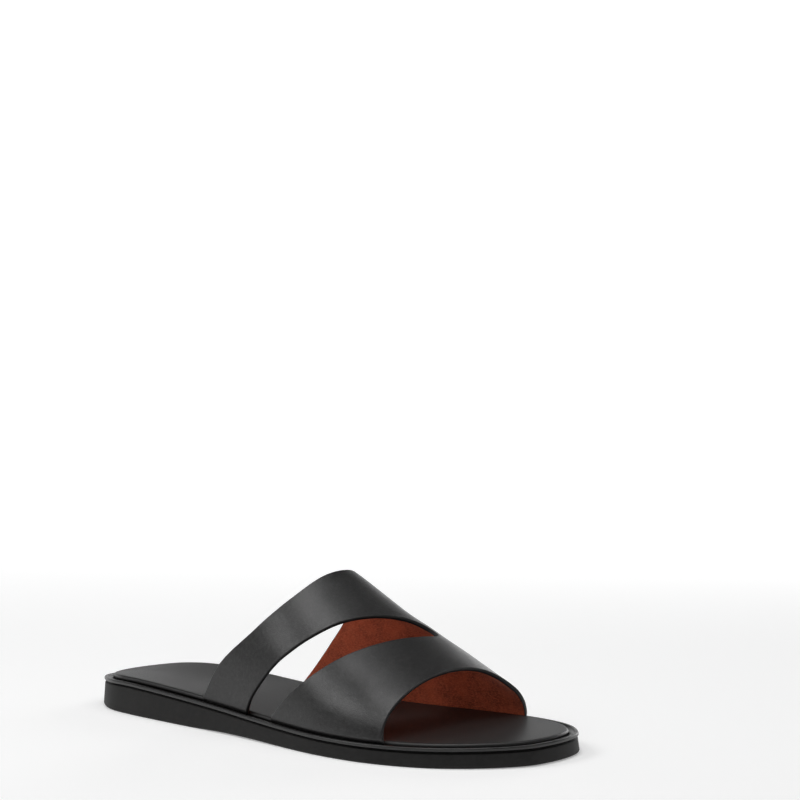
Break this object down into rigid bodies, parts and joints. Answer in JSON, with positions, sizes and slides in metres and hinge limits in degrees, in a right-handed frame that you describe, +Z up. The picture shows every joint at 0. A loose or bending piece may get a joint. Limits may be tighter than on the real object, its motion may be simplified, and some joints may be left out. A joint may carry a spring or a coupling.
{
  "type": "leather slide sandal",
  "caption": "Open-toed leather slide for the right foot: slim rubber sole, footbed, and one wide upper with a long slanting cut-out on the outer side.",
  "frame": {"origin": "on the floor, under the centre of the sole's outline", "axes": "+X from heel to toe, +Y to the inner side of the foot, +Z up"},
  "size_m": [0.2868, 0.1064, 0.0803],
  "materials": {
    "sole_rubber": "matt black moulded rubber",
    "rim": "black waxed edge, satin",
    "footbed_leather": "black smooth leather, satin",
    "upper_leather": "black fine-grained calf leather, semi-matt",
    "lining": "rust-red suede lining"
  },
  "bodies": {
    "root": {"outsole": "sole_rubber", "midsole": "rim", "footbed": "footbed_leather", "upper": "upper_leather"}
  },
  "joints": []
}
